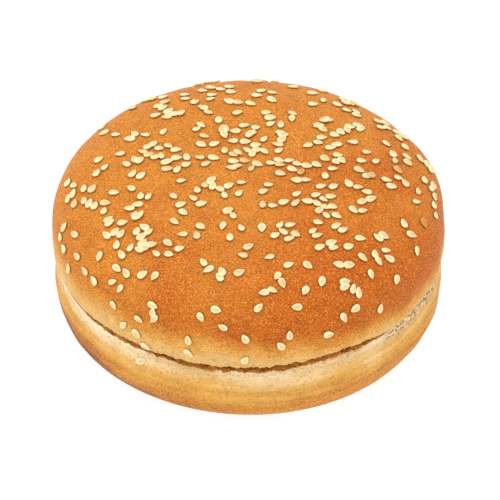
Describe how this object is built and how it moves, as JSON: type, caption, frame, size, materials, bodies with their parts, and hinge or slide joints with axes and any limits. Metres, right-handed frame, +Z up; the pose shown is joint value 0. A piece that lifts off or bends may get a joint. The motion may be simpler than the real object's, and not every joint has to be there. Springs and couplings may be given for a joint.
{
  "type": "bread roll",
  "caption": "Round soft bread roll topped with hulled sesame seeds, sliced level into a domed crown and a flat-based heel, for a burger or sandwich.",
  "frame": {"origin": "middle of the heel's flat base, level with what the bun rests on", "axes": "+Z up through the dome, -Y towards the bun's front, +X to its right"},
  "size_m": [0.1084, 0.1078, 0.0477],
  "materials": {
    "crown_crust": "soft satin brown bread crust, egg washed",
    "heel_crust": "matt golden bread crust, pale at the cut",
    "sesame": "smooth satin ivory seed"
  },
  "bodies": {
    "root": {"crown": "crown_crust", "heel": "heel_crust", "seed_01": "sesame", "seed_02": "sesame", "seed_03": "sesame", "seed_04": "sesame", "seed_05": "sesame", "seed_06": "sesame", "seed_07": "sesame", "seed_08": "sesame", "seed_09": "sesame", "seed_10": "sesame", "seed_11": "sesame", "seed_12": "sesame", "seed_13": "sesame", "seed_14": "sesame", "seed_15": "sesame", "seed_16": "sesame", "seed_17": "sesame", "seed_18": "sesame", "seed_19": "sesame", "seed_20": "sesame", "seed_21": "sesame", "seed_22": "sesame", "seed_23": "sesame", "seed_24": "sesame", "seed_25": "sesame", "seed_26": "sesame", "seed_27": "sesame", "seed_28": "sesame", "seed_29": "sesame", "seed_30": "sesame", "seed_31": "sesame", "seed_32": "sesame", "seed_33": "sesame", "seed_34": "sesame", "seed_35": "sesame", "seed_36": "sesame", "seed_37": "sesame", "seed_38": "sesame", "seed_39": "sesame", "seed_40": "sesame", "seed_41": "sesame", "seed_42": "sesame", "seed_43": "sesame", "seed_44": "sesame", "seed_45": "sesame", "seed_46": "sesame", "seed_47": "sesame", "seed_48": "sesame", "seed_49": "sesame", "seed_50": "sesame", "seed_51": "sesame", "seed_52": "sesame", "seed_53": "sesame", "seed_54": "sesame", "seed_55": "sesame", "seed_56": "sesame", "seed_57": "sesame", "seed_58": "sesame"}
  },
  "joints": []
}
